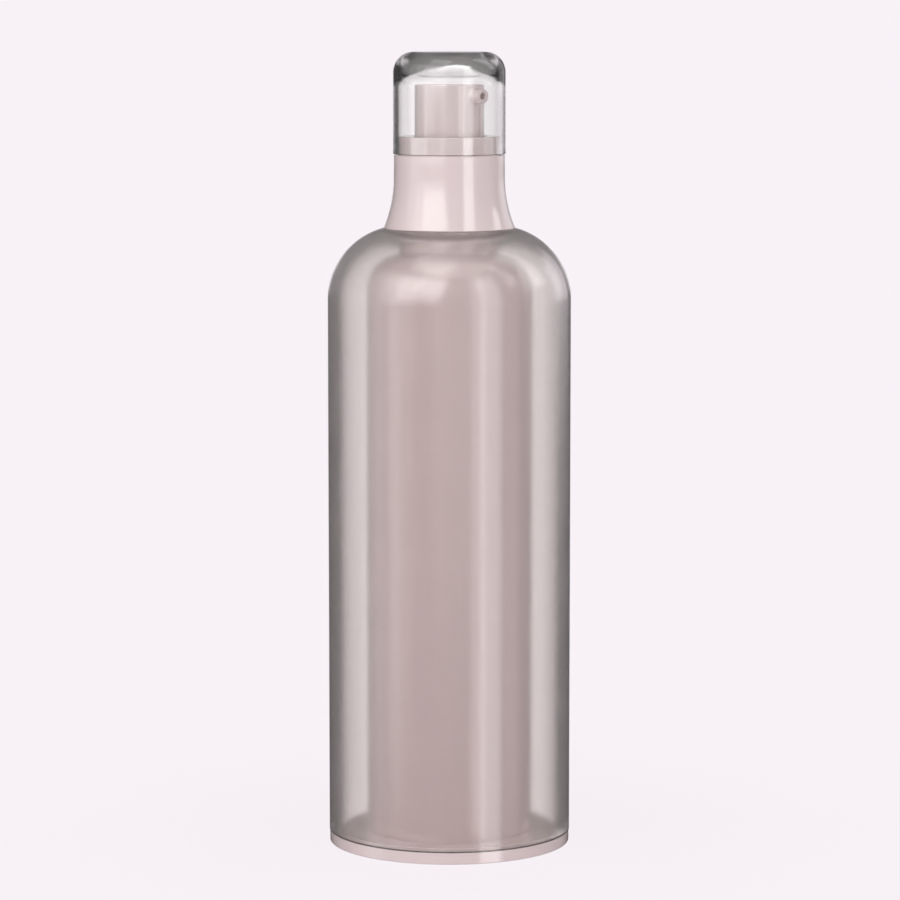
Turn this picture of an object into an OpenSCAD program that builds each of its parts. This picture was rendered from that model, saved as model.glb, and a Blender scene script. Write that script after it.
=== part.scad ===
/* [Outer bottle] */
// Outside diameter of the clear outer bottle
body_d = 50; // [41:0.5:60]
// Height from the table to the top of the bottle's shoulder
body_h = 128.2; // [106:0.2:155]
// Outside radius of the rounded shoulder
shoulder_r = 15.1; // [12:0.1:18.5]
// Wall of the clear outer bottle
outer_wall = 2.5; // [2:0.1:3]

/* [Base cap] */
// Height of the band that shows below the clear bottle
band_h = 2.4; // [2:0.1:4]
// How far the band stands back from the side of the bottle
band_step = 0.1; // [0:0.05:0.5]
// Height of the step that centres the outer bottle
step_h = 0.6; // [0.4:0.1:1]
// Height of the plug that closes the inner bottle
plug_h = 5.2; // [4:0.1:8]
// Wall of the plug
plug_wall = 1.3; // [1:0.1:2]
// Depth of the recess underneath
foot_recess = 0.8; // [0.4:0.1:1.2]
// Width of the rim that stands on the table
foot_rim_w = 2.6; // [1.5:0.1:5]
// Diameter of the hole that lets air in behind the follower
vent_d = 1.6; // [1:0.1:2.5]

/* [Inner bottle] */
// Outside diameter of the inner bottle
inner_d = 34; // [28:0.5:38]
// Wall of the inner bottle
inner_wall = 1.3; // [1:0.1:1.8]
// Air gap between the two bottles at the top of their shoulders
shoulder_gap = 2.3; // [1.6:0.1:3]
// Height of the neck above the shoulder of the outer bottle
neck_h = 8.8; // [8:0.1:12]
// Wall of the neck
neck_wall = 1.1; // [0.9:0.1:1.2]
// How far the snap bead stands out of the neck
bead_out = 0.35; // [0.2:0.05:0.45]
// Height of the snap bead
bead_h = 1; // [0.6:0.1:1.4]
// How far the bead lies below the neck's rim
bead_drop = 4; // [3:0.1:5]
// How far the root of the neck is wider than the neck
root_out = 0.7; // [0.4:0.1:1]
// Width of the ledge under the outer bottle's top
root_land = 1.4; // [1:0.1:2]

/* [Follower piston] */
// Height of the follower's sliding wall
follower_h = 9.5; // [8:0.1:14]
// Wall of the follower
follower_wall = 1; // [0.8:0.1:1.4]
// Height of each sealing lip
lip_h = 1.4; // [1:0.1:2.5]
// How far the waist stands back behind the lips
lip_out = 0.3; // [0.2:0.05:0.5]
// Gap between the follower's crown and the bottle's shoulder
crown_gap = 0.8; // [0.5:0.1:1.5]

/* [Collar] */
// How far the foot of the collar flares out
flare_w = 2.2; // [1:0.1:3]
// Radius of the concave flare
flare_r = 27.3; // [20:0.1:40]
// Wall of the flared collar
sleeve_wall = 1; // [0.8:0.1:1.2]
// Height of the cap ring above the flared collar
ring_h = 3.8; // [3:0.1:4.6]
// Wall of the cap ring
ring_wall = 0.95; // [0.8:0.05:1.1]
// Thickness of the cap ring's top
ring_top_t = 1.2; // [0.8:0.1:2]
// Wall of the tube that guides the push button
guide_wall = 0.9; // [0.7:0.1:1]
// Gap between the push button and its guide
button_gap = 0.5; // [0.3:0.1:0.8]
// Room left under the push button at full stroke
button_room = 0.7; // [0.3:0.1:1.5]

/* [Overcap] */
// Side wall of the clear overcap
cap_wall = 1.1; // [0.8:0.1:2]
// Top wall of the clear overcap
cap_top_wall = 1.9; // [1.2:0.1:4]
// Outside radius of the overcap's top edge
cap_corner_r = 4.2; // [2:0.1:5]
// Inside radius of the overcap's top edge
cap_inner_corner_r = 5.2; // [1:0.1:6]
// Room between the push button and the overcap's ceiling
cap_room = 4.3; // [1.5:0.1:6]
// Gap between the overcap's rim and the flared collar
cap_seat_gap = 0.2; // [0.1:0.05:0.5]
// Gap between the tip of the spout and the overcap
spout_room = 1.05; // [0.5:0.05:2]

/* [Push button] */
// Outside diameter of the push button
head_d = 14.2; // [11.8:0.1:17.2]
// Height of the push button above the cap ring
head_h = 11; // [9:0.1:14]
// How far the push button reaches into the cap ring
head_overlap = 1; // [0.5:0.1:1.5]
// Side wall of the push button
head_wall = 1; // [0.8:0.1:1.2]
// Top wall of the push button
head_top_wall = 1.2; // [0.8:0.1:1.5]
// Radius of the push button's top edge
head_edge_r = 0.5; // [0.2:0.1:1]
// Diameter of the spout
spout_d = 3.05; // [2.8:0.05:3.7]
// How far the spout stands out of the push button
spout_len = 2.3; // [1.5:0.1:3]
// Distance from the top of the push button down to the spout's axis
spout_drop = 2.7; // [2.4:0.1:3.6]
// How far the root of the spout spreads
spout_root = 0.3; // [0.3:0.1:0.8]
// Diameter of the nozzle insert
insert_d = 2.2; // [2:0.05:2.4]
// Diameter of the hole in the nozzle insert
orifice_d = 1.5; // [1:0.1:1.6]
// How deep the nozzle insert sits in the core
insert_seat = 0.9; // [0.5:0.1:1.2]
// Diameter of the cross channel in the core
channel_d = 1.4; // [1:0.1:1.6]
// Diameter of the core's socket for the stem
socket_d = 8.8; // [8:0.1:9.4]

/* [Pump] */
// Travel of the push button
stroke = 4.5; // [3.5:0.1:5.5]
// Bore of the pump housing
pump_bore = 9; // [8.6:0.1:10.8]
// Wall of the pump housing
housing_wall = 1.1; // [0.9:0.1:1.1]
// Thickness of the housing's flange
flange_t = 1; // [0.8:0.1:1.5]
// Wall of the skirt that seals in the neck
skirt_wall = 0.65; // [0.5:0.05:0.9]
// Height of the skirt that seals in the neck
skirt_h = 3.2; // [2:0.1:5]
// Thickness of the housing's floor
floor_t = 1.4; // [1.2:0.1:2]
// Diameter of the inlet hole
inlet_d = 2; // [1.6:0.1:2.4]
// Depth of the ball's conical seat
seat_depth = 0.8; // [0.5:0.1:1]
// Diameter of the inlet ball
ball_d = 3; // [2.6:0.1:3.6]
// Lift of the inlet ball
ball_lift = 0.8; // [0.4:0.1:1.2]
// Thickness of the plate that stops the ball
stop_t = 0.7; // [0.5:0.1:1]
// Outside diameter of the ball's cage
cage_d = 6; // [5.4:0.1:6.6]
// Gap all round the ball in its cage
cage_gap = 0.6; // [0.4:0.1:0.7]
// Thickness of the gasket on the neck
gasket_t = 0.8; // [0.5:0.1:1.5]
// Thickness of the stem guide's plate
guide_t = 0.8; // [0.6:0.1:1.2]
// Length of the stem guide
guide_len = 5.2; // [4:0.1:6.5]
// Wall of the guide's inner tube and of its outer plug
guide_tube_wall = 0.8; // [0.6:0.1:0.9]
// Wall of the snap closure
closure_wall = 0.9; // [0.7:0.1:1]
// Thickness of the snap closure's top
closure_t = 0.8; // [0.6:0.1:1.2]
// Diameter of the hole in the snap closure's top
closure_hole = 10.8; // [9.6:0.1:12]

/* [Stem and valve] */
// Outside diameter of the stem
stem_d = 4.4; // [4:0.1:5.2]
// Bore of the stem
stem_bore = 2.2; // [1.6:0.1:2.4]
// Diameter of the flange that stops the stem
stem_flange_d = 6.8; // [6:0.1:7.2]
// Thickness of the flange that stops the stem
stem_flange_t = 1.2; // [0.8:0.1:1.6]
// Length of the stem below its flange
stem_foot = 1.6; // [1:0.1:2.5]
// Diameter of the valve rod
rod_d = 3; // [2.6:0.1:3.4]
// How far the valve rod is pressed into the stem
rod_seat = 3.8; // [3:0.1:5]
// Diameter of the valve rod's head
rod_head_d = 6.4; // [5.6:0.1:7]
// Thickness of the valve rod's head
rod_head_t = 1; // [0.8:0.1:1.5]
// Width and depth of the flow grooves along the valve rod
groove_w = 0.6; // [0.4:0.1:0.8]
// Number of flow grooves
grooves = 4; // [3:1:6]
// How far the seal slips along the valve rod
seal_slip = 0.7; // [0.4:0.1:1.2]
// Height of the seal's hub
seal_hub_h = 2.8; // [2:0.1:4]
// Wall of the seal's hub
seal_hub_wall = 1; // [0.8:0.1:1.2]
// Thickness of the web between the seal's hub and its lips
seal_web_t = 1.4; // [1:0.1:2]
// Wall of the seal's lips
seal_lip_wall = 0.6; // [0.4:0.1:0.7]
// How far each seal lip reaches past the hub
seal_lip_reach = 1; // [0.6:0.1:1.4]

/* [Return spring] */
// Wire diameter of the return spring
wire_d = 0.5; // [0.4:0.05:0.6]
// Mean diameter of the return spring
coil_d = 7.6; // [6.4:0.1:8.2]
// Number of open turns
open_turns = 3; // [2:1:4]
// Number of close turns at each end
end_turns = 0.75; // [0.5:0.25:1]
// Gap between close turns
end_turn_gap = 0.45; // [0.45:0.05:0.6]
// Length left between the turns at full stroke
spring_spare = 1.05; // [0.5:0.05:2]

/* [Fits] */
// Radial gap between pieces that are pressed together
press_gap = 0.05; // [0.02:0.01:0.08]
// Radial gap between pieces that slide or turn
slide_gap = 0.05; // [0.02:0.01:0.08]
// Gap at rest between faces that close on each other
rest_gap = 0.05; // [0.02:0.01:0.1]
// Gap at rest between a moving piece and its end stop
stop_gap = 0.2; // [0.1:0.05:0.3]
// Fillet on small moulded edges
edge_r = 0.25; // [0.1:0.05:0.3]

/* [Hidden] */
$fn = 96;
// Reach of cutting shapes past the faces that they cut
past = 1;
// Sides and rings of the spring's wire
wire_sides = 6;
rings_per_turn = 16;

clear_acrylic = [0.86, 0.86, 0.88, 0.35];
frosted_acrylic = [0.80, 0.78, 0.79, 0.55];
pink_plastic = [0.87, 0.80, 0.81];
natural_plastic = [0.93, 0.92, 0.90];
white_plastic = [0.96, 0.95, 0.94];
spring_steel = [0.70, 0.71, 0.73];
gasket_foam = [0.62, 0.61, 0.60];

// Radii, worked outwards from the push button and inwards from the overcap
body_r = body_d / 2;
cavity_r = body_r - outer_wall;
inner_r = inner_d / 2;
chamber_r = inner_r - inner_wall;
head_r = head_d / 2;
spout_r = spout_d / 2;
spout_reach = head_r + spout_len;
cap_in_r = spout_reach + spout_room;
cap_r = cap_in_r + cap_wall;
ring_r = cap_in_r - slide_gap;
sleeve_in_r = ring_r + press_gap;
sleeve_r = sleeve_in_r + sleeve_wall;
foot_r = sleeve_r + flare_w;
ring_in_r = ring_r - ring_wall;
closure_r = ring_in_r - press_gap;
closure_in_r = closure_r - closure_wall;
bead_r = closure_in_r - press_gap;
neck_r = bead_r - bead_out;
neck_bore_r = neck_r - neck_wall;
root_r = neck_r + root_out;
land_r = root_r + root_land;
top_hole_r = root_r + press_gap;
button_guide_r = head_r + button_gap;
head_in_r = head_r - head_wall;
core_r = head_in_r - press_gap;
insert_r = insert_d / 2;
pump_r = pump_bore / 2;
housing_r = pump_r + housing_wall;
skirt_r = neck_bore_r - press_gap;
stem_r = stem_d / 2;
rod_r = rod_d / 2;
ball_r = ball_d / 2;
cage_in_r = ball_r + cage_gap;
seal_bore_r = rod_r + slide_gap;
seal_r = pump_r - slide_gap;
wire_r = wire_d / 2;
coil_r = coil_d / 2;

// Heights of the two bottles
shoulder_z = body_h - shoulder_r;
cavity_top = body_h - outer_wall;
cavity_corner = shoulder_r - outer_wall;
inner_top = cavity_top - shoulder_gap;
inner_shoulder_r = inner_r - neck_r;
inner_shoulder_z = inner_top - inner_shoulder_r;
chamber_top = inner_top - inner_wall;
chamber_corner = inner_shoulder_r - inner_wall;
neck_top = body_h + neck_h;
bead_z = neck_top - bead_drop;

// Heights of the pump and of what holds it
gasket_top = neck_top + gasket_t;
flange_top = gasket_top + flange_t;
guide_top = flange_top + guide_t;
guide_bottom = guide_top - guide_len;
closure_top = guide_top + closure_t;
closure_bottom = body_h + press_gap;
stem_flange_top = guide_bottom - stop_gap;
stem_flange_bottom = stem_flange_top - stem_flange_t;
stem_bottom = stem_flange_bottom - stem_foot;
seal_top = stem_bottom - seal_slip - rest_gap;
seal_bottom = seal_top - seal_hub_h;
lip_low = seal_bottom - seal_lip_reach;
rod_head_top = seal_bottom - rest_gap;
rod_head_bottom = rod_head_top - rod_head_t;
rod_top = stem_bottom + rod_seat;
cage_top = min(lip_low, rod_head_bottom) - stroke - stop_gap;
stop_low = cage_top - stop_t;
ball_z = stop_low - ball_lift - rest_gap - ball_r;
seat_low = ball_z + inlet_d / 2 - sqrt(2) * (ball_r + rest_gap);
floor_top = seat_low + seat_depth;
floor_bottom = floor_top - floor_t;

// Heights of the push button, the collar and the overcap
button_low = closure_top + button_room + stroke;
ring_top = button_low + head_overlap;
sleeve_top = ring_top - ring_h;
head_top = ring_top + head_h;
spout_z = head_top - spout_drop;
cap_low = sleeve_top + cap_seat_gap;
cap_ceiling = head_top + cap_room;
cap_top = cap_ceiling + cap_top_wall;
foot_z = shoulder_z + sqrt(pow(shoulder_r, 2) - pow(foot_r - body_r + shoulder_r, 2));
flare_z = foot_z + sqrt(pow(flare_r, 2) - pow(flare_r - flare_w, 2));

// Lengths of the return spring and of the core above it
spring_turns = open_turns + 2 * end_turns;
spring_room = stroke + (spring_turns + 1) * wire_d + spring_spare;
spring_low = guide_top + rest_gap;
spring_high = guide_top + spring_room - rest_gap;
core_low = guide_top + spring_room;
core_top = head_top - head_top_wall - press_gap;
core_disc_low = spout_z - spout_r - spout_root;
stem_top = core_disc_low;
close_pitch = wire_d + end_turn_gap;
open_pitch = (spring_high - spring_low - wire_d - 2 * end_turns * close_pitch) / open_turns;

// Heights of the base cap and the follower
step_top = band_h + step_h;
plug_top = band_h + plug_h;
follower_low = plug_top + stop_gap;
follower_top = follower_low + follower_h;
crown_r = chamber_corner - crown_gap;
well_r = housing_r + crown_gap;

// Quarter of a disc, for a rounded corner in a half section
module quarter(r) {
    intersection() {
        circle(r);
        square(r);
    }
}

// Rectangle in a half section, from one radius and height to another
module band(r_in, r_out, low, high) {
    translate([r_in, low]) square([r_out - r_in, high - low]);
}

// Half section of a solid round body whose top edge is rounded
module round_top(r, low, high, corner) {
    band(0, r, low, high - corner);
    band(0, r - corner, low, high);
    translate([r - corner, high - corner]) quarter(corner);
}

// Half section of a round cup, open below, with rounded top edges
module cup_section(r, low, high, corner, in_r, in_high, in_corner) {
    difference() {
        round_top(r, low, high, corner);
        round_top(in_r, low - past, in_high, in_corner);
    }
}

// Clear outer bottle: open below, with a hole for the neck in its top
module outer_bottle() {
    color(frosted_acrylic)
    rotate_extrude()
    difference() {
        cup_section(body_r, band_h, body_h, shoulder_r, cavity_r, cavity_top, cavity_corner);
        band(0, top_hole_r, inner_top, body_h + past);
    }
}

// Inner bottle that holds the product: shoulder, ledge, neck and snap bead
module inner_bottle() {
    color(pink_plastic)
    rotate_extrude()
    difference() {
        union() {
            round_top(inner_r, band_h, inner_top, inner_shoulder_r);
            // The ledge carries the top of the outer bottle from below
            intersection() {
                band(0, land_r, inner_shoulder_z, cavity_top);
                round_top(
                    cavity_r - press_gap, band_h, cavity_top - press_gap, cavity_corner - press_gap
                );
            }
            band(0, root_r, inner_shoulder_z, body_h);
            band(0, neck_r, inner_shoulder_z, neck_top);
            // Snap bead with a sloping upper side
            polygon([
                [0, bead_z - bead_h],
                [bead_r, bead_z - bead_h],
                [bead_r, bead_z - bead_h / 2],
                [neck_r, bead_z],
                [0, bead_z]
            ]);
        }
        round_top(chamber_r, band_h - past, chamber_top, chamber_corner);
        band(0, neck_bore_r, inner_shoulder_z, neck_top + past);
    }
}

// Base cap: band, step for the outer bottle, plug for the inner bottle, vent
module base_cap() {
    band_r = body_r - band_step;
    color(pink_plastic)
    rotate_extrude()
    difference() {
        union() {
            band(0, band_r, edge_r, band_h);
            band(0, band_r - edge_r, 0, band_h);
            translate([band_r - edge_r, edge_r]) mirror([0, 1]) quarter(edge_r);
            band(inner_r + press_gap, cavity_r - press_gap, band_h, step_top);
            band(0, chamber_r - press_gap, band_h, plug_top);
        }
        band(0, band_r - foot_rim_w, -past, foot_recess);
        band(0, chamber_r - press_gap - plug_wall, band_h, plug_top + past);
        band(0, vent_d / 2, 0, plug_top);
    }
}

// Follower that rises behind the product: two lips, domed crown, central well
module follower_piston() {
    lip_r = chamber_r - slide_gap;
    waist_r = lip_r - lip_out;
    inside_r = waist_r - follower_wall;
    crown_top = follower_top + crown_r;
    color(white_plastic)
    rotate_extrude()
    difference() {
        union() {
            // Sliding wall with a lip at each end
            polygon([
                [0, follower_low],
                [lip_r, follower_low],
                [lip_r, follower_low + lip_h / 2],
                [waist_r, follower_low + lip_h],
                [waist_r, follower_top - lip_h],
                [lip_r, follower_top - lip_h / 2],
                [lip_r, follower_top],
                [0, follower_top]
            ]);
            // Crown that follows the bottle's shoulder
            translate([neck_r, follower_top]) quarter(crown_r);
            band(0, neck_r, follower_top, crown_top);
        }
        // Hollow from below, one wall inside the crown and the well
        band(0, inside_r, follower_low - past, follower_top - follower_wall);
        translate([neck_r, follower_top]) quarter(crown_r - follower_wall);
        band(
            neck_r, neck_r + crown_r - follower_wall,
            follower_top - 2 * follower_wall, follower_top
        );
        band(
            well_r + follower_wall, neck_r,
            follower_top - 2 * follower_wall, crown_top - follower_wall
        );
        // Well that leaves room for the foot of the pump
        band(0, well_r, follower_top, crown_top + past);
    }
}

// Flared collar that stands on the bottle's shoulder
module collar() {
    flare_x = sleeve_r + flare_r;
    color(pink_plastic)
    rotate_extrude()
    difference() {
        band(sleeve_in_r, foot_r, shoulder_z, sleeve_top);
        // Straight upper part, with a fine fillet at its top edge
        difference() {
            band(sleeve_r - edge_r, foot_r + past, flare_z, sleeve_top + past);
            round_top(sleeve_r, flare_z - past, sleeve_top, edge_r);
        }
        // Concave outside and the inside that runs level with it
        translate([flare_x, flare_z]) circle(flare_r);
        difference() {
            band(0, foot_r + past, shoulder_z - past, flare_z);
            translate([flare_x, flare_z]) circle(flare_r + sleeve_wall);
        }
        // Underside cut to the shoulder
        round_top(
            body_r + press_gap, band_h, body_h + press_gap, shoulder_r + press_gap
        );
    }
}

// Ring that the overcap clicks onto, with the guide for the push button
module cap_ring() {
    color(pink_plastic)
    rotate_extrude()
    difference() {
        round_top(ring_r, closure_bottom, ring_top, edge_r);
        // Room for the snap closure and a core up to the ring's top
        band(0, ring_in_r, closure_bottom - past, closure_top + rest_gap);
        band(
            button_guide_r + guide_wall, ring_in_r, closure_top, ring_top - ring_top_t
        );
        band(0, button_guide_r, closure_top, ring_top + past);
    }
}

// Closure that snaps over the neck and holds the pump down
module snap_closure() {
    lip_top = bead_z - bead_h - press_gap;
    color(natural_plastic)
    rotate_extrude()
    difference() {
        band(0, closure_r, closure_bottom, closure_top);
        band(0, closure_in_r, lip_top, guide_top);
        // Snap lip under the bead, open below over the root of the neck
        polygon([
            [0, lip_top],
            [neck_r + press_gap, lip_top],
            [neck_r + press_gap, lip_top - bead_h / 2],
            [closure_in_r, lip_top - bead_h],
            [closure_in_r, closure_bottom - past],
            [0, closure_bottom - past]
        ]);
        band(0, closure_hole / 2, guide_top - past, closure_top + past);
    }
}

// Flat gasket between the neck's rim and the pump's flange
module neck_gasket() {
    color(gasket_foam)
    rotate_extrude()
    band(neck_bore_r, neck_r, neck_top, gasket_top);
}

// Pump housing: flange, sealing skirt, bore, floor with inlet and ball seat
module pump_housing() {
    inlet_r = inlet_d / 2;
    color(natural_plastic)
    rotate_extrude()
    difference() {
        union() {
            band(0, housing_r, floor_bottom, flange_top);
            band(0, neck_r, gasket_top, flange_top);
            band(skirt_r - skirt_wall, skirt_r, gasket_top - skirt_h, flange_top);
        }
        band(0, pump_r, floor_top, flange_top + past);
        band(0, inlet_r, floor_bottom - past, floor_top);
        polygon([
            [0, seat_low],
            [inlet_r, seat_low],
            [inlet_r + seat_depth, floor_top],
            [0, floor_top]
        ]);
    }
}

// Cage that is pressed into the housing and stops the ball
module ball_cage() {
    cage_low = floor_top + rest_gap;
    hole_r = (cage_in_r - rest_gap) / 3;
    color(natural_plastic)
    difference() {
        rotate_extrude()
        difference() {
            union() {
                band(0, cage_d / 2, cage_low, cage_top);
                band(0, pump_r - press_gap, cage_low, cage_low + stop_t);
            }
            band(0, cage_in_r, cage_low - past, stop_low);
        }
        // Flow holes round the spot where the ball stops
        for (i = [0 : grooves - 1])
            rotate(i * 360 / grooves)
            translate([cage_in_r - hole_r, 0, stop_low - past])
            cylinder(r = hole_r, h = stop_t + 2 * past);
    }
}

// Ball of the inlet valve, resting in its conical seat
module inlet_ball() {
    color(spring_steel)
    translate([0, 0, ball_z])
    sphere(ball_r);
}

// Guide that closes the housing and carries the stem and the spring
module stem_guide() {
    color(natural_plastic)
    rotate_extrude()
    difference() {
        union() {
            band(0, neck_r, flange_top, guide_top);
            band(0, pump_r - press_gap, guide_bottom, guide_top);
        }
        band(0, stem_r + slide_gap, guide_bottom - past, guide_top + past);
        // Groove from below between the inner tube and the outer plug
        band(
            stem_r + slide_gap + guide_tube_wall, pump_r - press_gap - guide_tube_wall,
            guide_bottom - past, flange_top
        );
    }
}

// Hollow stem with the flange that stops it under the guide
module pump_stem() {
    color(natural_plastic)
    rotate_extrude()
    difference() {
        union() {
            band(0, stem_r, stem_bottom, stem_top);
            band(0, stem_flange_d / 2, stem_flange_bottom, stem_flange_top);
        }
        band(0, stem_bore / 2, stem_bottom - past, stem_top + past);
        band(0, rod_r + press_gap, stem_bottom - past, rod_top);
    }
}

// Valve rod: grooved shaft pressed into the stem, head that closes the seal
module valve_rod() {
    color(natural_plastic)
    difference() {
        rotate_extrude()
        union() {
            band(0, rod_head_d / 2, rod_head_bottom, rod_head_top);
            band(0, rod_r, rod_head_top, rod_top - rest_gap);
        }
        for (i = [0 : grooves - 1])
            rotate(i * 360 / grooves)
            translate([rod_r - groove_w, -groove_w / 2, rod_head_top + groove_w])
            cube([2 * groove_w, groove_w, rod_top - rod_head_top]);
    }
}

// Piston seal that slips along the valve rod and so opens the outlet
module piston_seal() {
    waist_r = seal_r - seal_lip_wall / 3;
    inside_r = seal_r - seal_lip_wall;
    lip_high = seal_top + seal_lip_reach;
    web_top = seal_bottom + seal_web_t;
    color(white_plastic)
    rotate_extrude()
    difference() {
        // Outside with a lip at each end
        polygon([
            [0, lip_low],
            [seal_r, lip_low],
            [waist_r, lip_low + seal_lip_reach],
            [waist_r, lip_high - seal_lip_reach],
            [seal_r, lip_high],
            [0, lip_high]
        ]);
        band(0, seal_bore_r, lip_low - past, lip_high + past);
        band(0, inside_r, lip_low - past, seal_bottom);
        band(seal_bore_r + seal_hub_wall, inside_r, web_top, lip_high + past);
        band(0, inside_r, seal_top, lip_high + past);
    }
}

// Height of the wire's centre above its start after a number of turns
function rise(turns) =
    turns < end_turns ? turns * close_pitch :
    turns < end_turns + open_turns ? end_turns * close_pitch + (turns - end_turns) * open_pitch :
    end_turns * close_pitch + open_turns * open_pitch
        + (turns - end_turns - open_turns) * close_pitch;

// Centre of the wire at one ring
function wire_centre(ring) = [
    coil_r * cos(ring * 360 / rings_per_turn),
    coil_r * sin(ring * 360 / rings_per_turn),
    spring_low + wire_r + rise(ring / rings_per_turn)
];

// Point on the wire's surface at one ring and one side
function wire_point(ring, side) =
    let (
        turn = ring * 360 / rings_per_turn,
        around = side * 360 / wire_sides,
        r = coil_r + wire_r * cos(around)
    )
    [r * cos(turn), r * sin(turn), wire_centre(ring).z + wire_r * sin(around)];

// Return spring: one unbroken helical wire with close turns at both ends
module return_spring() {
    last = spring_turns * rings_per_turn;
    points = [
        for (ring = [0 : last], side = [0 : wire_sides - 1]) wire_point(ring, side)
    ];
    walls = [
        for (ring = [0 : last - 1], side = [0 : wire_sides - 1])
            let (
                next = (side + 1) % wire_sides,
                a = ring * wire_sides + side,
                b = ring * wire_sides + next,
                c = b + wire_sides,
                d = a + wire_sides
            )
            each [[a, b, c], [a, c, d]]
    ];
    first_end = [for (side = [1 : wire_sides - 2]) [0, side + 1, side]];
    far_end = [for (side = [1 : wire_sides - 2])
        [last * wire_sides, last * wire_sides + side, last * wire_sides + side + 1]
    ];
    // Least gap between points of the wire that lie half a turn or more apart
    gaps = [
        for (a = [0 : last], b = [a + rings_per_turn / 2 : 1 : last])
            norm(wire_centre(a) - wire_centre(b)) - wire_d
    ];
    echo(least_gap_of_spring = min(gaps));
    color(spring_steel)
    polyhedron(points, concat(walls, first_end, far_end));
}

// Core inside the push button: stem socket, spring seat and flow channel
module button_core() {
    channel_r = channel_d / 2;
    color(natural_plastic)
    difference() {
        rotate_extrude()
        difference() {
            union() {
                band(0, socket_d / 2, core_low, core_top);
                band(0, core_r, core_disc_low, core_top);
            }
            band(0, stem_r + slide_gap, core_low - past, stem_top + rest_gap);
            band(0, stem_bore / 2, stem_top, spout_z);
        }
        // Cross channel towards the spout, widened where the insert sits
        translate([0, 0, spout_z]) rotate([90, 0, 0]) cylinder(r = channel_r, h = core_r + past);
        translate([0, -core_r + insert_seat, spout_z])
        rotate([90, 0, 0])
        cylinder(r = insert_r + press_gap, h = core_r);
    }
}

// Push button: cup with a fine top edge and the spout in front
module push_button() {
    root_low = head_r - head_wall / 2;
    root_len = head_wall / 2 + spout_root;
    color(pink_plastic)
    difference() {
        union() {
            rotate_extrude() round_top(head_r, button_low, head_top, head_edge_r);
            translate([0, 0, spout_z]) rotate([90, 0, 0]) {
                cylinder(r = spout_r, h = spout_reach - edge_r);
                cylinder(r = spout_r - edge_r, h = spout_reach);
                translate([0, 0, spout_reach - edge_r])
                cylinder(r1 = spout_r, r2 = spout_r - edge_r, h = edge_r);
                translate([0, 0, root_low])
                cylinder(r1 = spout_r + spout_root, r2 = spout_r, h = root_len);
            }
        }
        rotate_extrude() band(0, head_in_r, button_low - past, head_top - head_top_wall);
        translate([0, 0, spout_z])
        rotate([90, 0, 0])
        cylinder(r = insert_r + press_gap, h = spout_reach + past);
    }
}

// Nozzle insert: short tube from the core to the tip of the spout
module nozzle_insert() {
    back = core_r - insert_seat + rest_gap;
    color(pink_plastic)
    translate([0, 0, spout_z])
    rotate([90, 0, 0])
    difference() {
        translate([0, 0, back]) cylinder(r = insert_r, h = spout_reach - back);
        cylinder(r = orifice_d / 2, h = spout_reach + past);
    }
}

// Clear overcap that pulls straight off its ring
module overcap() {
    color(clear_acrylic)
    rotate_extrude()
    difference() {
        cup_section(
            cap_r, cap_low, cap_top, cap_corner_r, cap_in_r, cap_ceiling, cap_inner_corner_r
        );
        // Fine bevel inside the rim that leads it onto the ring
        polygon([
            [0, cap_low - past],
            [cap_in_r + edge_r + past, cap_low - past],
            [cap_in_r, cap_low + edge_r],
            [0, cap_low + edge_r]
        ]);
    }
}

overcap();
push_button();
button_core();
nozzle_insert();
collar();
cap_ring();
snap_closure();
neck_gasket();
stem_guide();
pump_stem();
valve_rod();
piston_seal();
return_spring();
pump_housing();
ball_cage();
inlet_ball();
outer_bottle();
inner_bottle();
follower_piston();
base_cap();
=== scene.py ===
"""Looks of a double-wall airless pump bottle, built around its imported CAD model.

Sizes in the operators are in millimetres, and the meshes are in metres. Every piece is a surface worked out with
numpy in the model's own frame: Z is the bottle's axis, the table is at Z 0 and the spout points along -Y.
"""

import math

import bpy
import numpy as np
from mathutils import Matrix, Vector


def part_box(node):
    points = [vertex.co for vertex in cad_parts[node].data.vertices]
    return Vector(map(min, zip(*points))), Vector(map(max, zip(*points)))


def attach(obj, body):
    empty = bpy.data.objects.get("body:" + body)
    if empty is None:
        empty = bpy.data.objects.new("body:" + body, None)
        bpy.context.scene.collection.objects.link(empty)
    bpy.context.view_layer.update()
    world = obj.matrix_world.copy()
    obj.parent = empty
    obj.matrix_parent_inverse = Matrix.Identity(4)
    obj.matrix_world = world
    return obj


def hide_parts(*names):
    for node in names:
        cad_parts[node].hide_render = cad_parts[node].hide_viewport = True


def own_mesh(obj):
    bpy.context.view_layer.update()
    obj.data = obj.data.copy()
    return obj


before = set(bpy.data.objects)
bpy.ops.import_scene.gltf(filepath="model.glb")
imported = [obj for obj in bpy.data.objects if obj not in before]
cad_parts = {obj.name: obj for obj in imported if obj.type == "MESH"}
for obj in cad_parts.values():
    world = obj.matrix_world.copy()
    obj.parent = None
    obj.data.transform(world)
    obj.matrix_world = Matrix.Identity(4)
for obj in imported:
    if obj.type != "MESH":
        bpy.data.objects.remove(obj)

bl_info = {
    "name": "Airless pump bottle",
    "version": (1, 0, 0),
    "blender": (4, 5, 0),
    "location": "3D View > Sidebar > Bottle",
    "description": "Builds the visible pieces of a double-wall airless pump bottle around its CAD model",
    "category": "Object",
}

MM = 0.001
TURN = 2 * math.pi
# Steps round a turned piece, and the longest straight step along its outline
AROUND = 192
LONGEST_STEP = 2.5
# Gap between pieces that fit each other, as in the CAD model
FIT = 0.05
# Fillet on a small moulded edge, and on an edge that meets another piece in a fine seam
EDGE = 0.15
SEAM = 0.05
# Radius below which a point of an outline lies on the axis
ON_AXIS = 1e-9
# Angle above which an edge is drawn sharp
SHARP = math.radians(35)


def low_mm(node):
    """Lowest corner of a CAD node, in millimetres."""
    return np.array(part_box(node)[0]) / MM


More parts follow.
